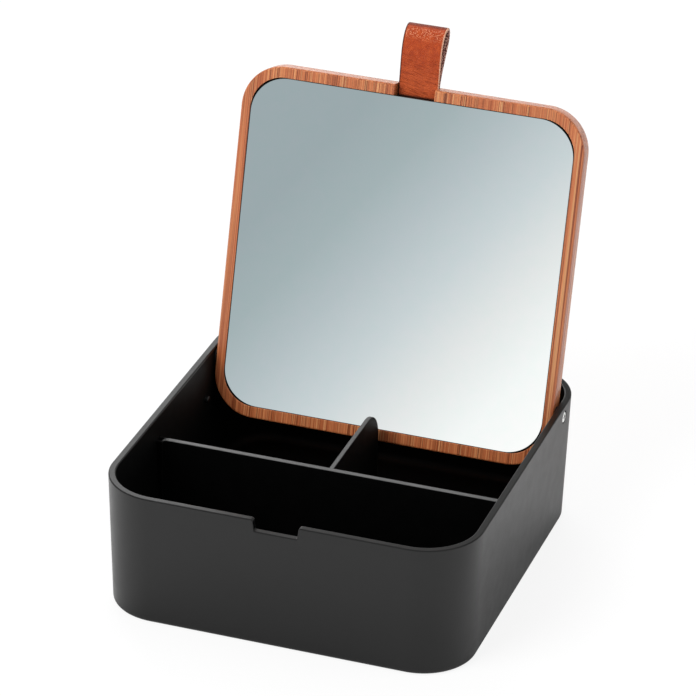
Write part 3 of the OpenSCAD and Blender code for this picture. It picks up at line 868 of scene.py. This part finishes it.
studio = {
    "floorSize": 6, "floorColour": "#f2f2f2", "floorSeen": 0.85, "floorMirrored": 0.14, "worldLevel": 0.5,
    "cardPlace": (-0.2765, -0.9599, 0.0457), "cardInner": 8, "cardOuter": 16,
    "sweepAxis": (0.7837, -0.2528, -0.5673), "sweepRange": (-0.03, 0.0534),
    "sweep": [(0.0, "#9ca9ad"), (0.18, "#a4b2b5"), (0.32, "#b4bfc3"), (0.5, "#c9d2d5"), (0.68, "#e3e6e6"),
              (0.86, "#f5f8f7"), (1.0, "#fdfdfc")],
    "stripTop": 3, "stripEnd": 9, "stripLevel": 1.75,            # degrees above the horizon
    "wallTop": 45, "wallEnd": 60, "wallLevel": 0.4, "roomLevel": 0.65, "behindRange": (-0.1, 0.1),
}
white = (1, 1, 1, 1)


def buildFloor(s):
    # a square sheet: the camera sees it nearly white with the object's shadow, reflections see it dimmer
    corners = rectangle(s["floorSize"], s["floorSize"]) / mm
    floor = makeMesh("floor", (np.insert(corners, 2, 0, 1), [[0, 1, 2, 3]]))
    material = bpy.data.materials.new("paper_floor_white")
    material.use_nodes = True
    tree = material.node_tree
    tree.nodes.clear()
    rays = addNode(tree, "LightPath").outputs
    seen = rays["Is Camera Ray"]
    mirrored = addNode(
        tree, "Math", [rays["Is Glossy Ray"], rays["Is Transmission Ray"]], operation="MAXIMUM")
    glowing = addNode(tree, "Math", [mirrored, s["floorMirrored"]], operation="MULTIPLY")
    glowing = addNode(tree, "Math", [seen, s["floorSeen"], glowing], operation="MULTIPLY_ADD")
    paper = addNode(tree, "BsdfDiffuse", {"Color": toLinear(s["floorColour"])})
    glow = addNode(tree, "Emission", {"Color": white, "Strength": seen})
    addNode(tree, "OutputMaterial", [addNode(tree, "MixShader", [glowing, paper, glow])])
    floor.data.materials.append(material)


def buildWorld(s):
    # even white light; reflections see a dim room, behind the box a white strip on the horizon with a
    # darker wall above it, and in front of the box a card that runs from grey to white
    world = bpy.data.worlds.new("studio")
    world.use_nodes = True
    bpy.context.scene.world = world
    tree = world.node_tree
    tree.nodes.clear()
    direction = addNode(tree, "TexCoord").outputs["Generated"]
    _, depth, height = addNode(tree, "SeparateXYZ", [direction]).outputs
    toCard, acrossCard = (
        addNode(tree, "VectorMath", [direction, axis], operation="DOT_PRODUCT").outputs["Value"]
        for axis in (s["cardPlace"], s["sweepAxis"]))

    cardEdge = np.cos(np.radians([s["cardOuter"], s["cardInner"]]))
    stripEdge = np.sin(np.radians([s["stripEnd"], s["stripTop"]]))
    wallEdge = np.sin(np.radians([s["wallEnd"], s["wallTop"]]))
    card = addNode(tree, "MapRange", [toCard, *cardEdge])
    sweep = addNode(tree, "MapRange", [acrossCard, *s["sweepRange"]])
    sweep = addNode(tree, "ValToRGB", [sweep], s["sweep"])
    behind = addNode(tree, "MapRange", [depth, *s["behindRange"]])
    strip = addNode(tree, "MapRange", [height, *stripEdge, 0.0, s["stripLevel"]])
    strip = addNode(tree, "Math", [strip, behind], operation="MULTIPLY")
    wall = addNode(tree, "MapRange", [height, *wallEdge])
    wall = addNode(tree, "Math", [wall, behind], operation="MULTIPLY")
    wall = addNode(tree, "MapRange", [wall, 0.0, 1.0, 1.0, s["wallLevel"]])
    level = addNode(tree, "MapRange", [card, 0.0, 1.0, s["roomLevel"], 1.0])
    level = addNode(tree, "Math", [level, wall], operation="MULTIPLY")
    level = addNode(tree, "Math", [level, strip], operation="MAXIMUM")
    tone = addNode(tree, "Mix", {0: card, 6: white, 7: sweep}, data_type="RGBA").outputs[2]

    rays = addNode(tree, "LightPath").outputs
    mirrored = addNode(
        tree, "Math", [rays["Is Glossy Ray"], rays["Is Transmission Ray"]], operation="MAXIMUM")
    soft = addNode(tree, "Background", [white, s["worldLevel"]])
    room = addNode(tree, "MixShader", [mirrored, soft, addNode(tree, "Background", [tone, level])])
    plain = addNode(tree, "Background", [white, 1.0])
    addNode(tree, "OutputWorld", [addNode(tree, "MixShader", [rays["Is Camera Ray"], room, plain])])


softboxes = {          # place, target, size, power, and whether reflections show it
    "top_softbox": ((-0.55, 1.2, 1.6), (0, 0, 0.06), (1.2, 0.9), 19, False),
    "front_softbox": ((-0.9, -1.4, 1.6), (0, 0, 0.08), (1.2, 1.2), 40, False),
    "right_softbox": ((1.2, 0.1, 1.6), (0, 0, 0.06), (0.8, 0.8), 8, False),
    "rim_card": ((-0.41, 0.7, 0.48), (-0.05, 0, 0.06), (0.38, 0.5), 1.25, True),
}


def putAt(thing, axes, place):
    # a lamp or the camera takes its own three axes, right, up and back, and its place
    turned = np.eye(4)
    turned[:3, :3] = np.transpose(axes)
    turned[:3, 3] = place
    thing.matrix_world = Matrix(turned.tolist())
    bpy.context.scene.collection.objects.link(thing)


def addSoftbox(name, place, target, size, power, mirrored):
    # soft light that reflections don't show, or a card that only reflections show
    light = bpy.data.lights.new(name, "AREA")
    light.shape = "RECTANGLE"
    light.size, light.size_y = size
    light.energy = power
    lamp = bpy.data.objects.new(name, light)
    lamp.visible_camera = False
    lamp.visible_glossy = mirrored
    lamp.visible_diffuse = not mirrored
    back = np.array(place) - np.array(target)
    back = back / np.linalg.norm(back)
    right = np.cross(axisZ, back)
    right /= np.linalg.norm(right)
    putAt(lamp, [right, np.cross(back, right), back], place)


photoView = {"yaw": 18.54, "pitch": 27.33, "roll": 1.26, "lens": 219.0, "sensor": 36,
             "eye": (0.5558, -1.6547, 1.0117), "reach": 100}


def buildCamera(c):
    # a long lens, from the right and above: turned about the upright, tipped down and rolled a little
    yaw, pitch, roll = np.radians([c["yaw"], c["pitch"], c["roll"]])
    back = np.array([np.sin(yaw) * np.cos(pitch), -np.cos(yaw) * np.cos(pitch), np.sin(pitch)])
    level = np.array([np.cos(yaw), np.sin(yaw), 0])
    upright = np.cross(back, level)
    right = np.cos(roll) * level + np.sin(roll) * upright
    up = np.cos(roll) * upright - np.sin(roll) * level
    data = bpy.data.cameras.new("camera")
    data.sensor_width = c["sensor"]
    data.lens = c["lens"]
    data.clip_end = c["reach"]
    camera = bpy.data.objects.new("camera", data)
    putAt(camera, [right, up, back], c["eye"])
    bpy.context.scene.camera = camera


buildFloor(studio)
buildWorld(studio)
for name, values in softboxes.items():
    addSoftbox(name, *values)
buildCamera(photoView)
bpy.context.scene.view_settings.view_transform = "Standard"
print("studio done")
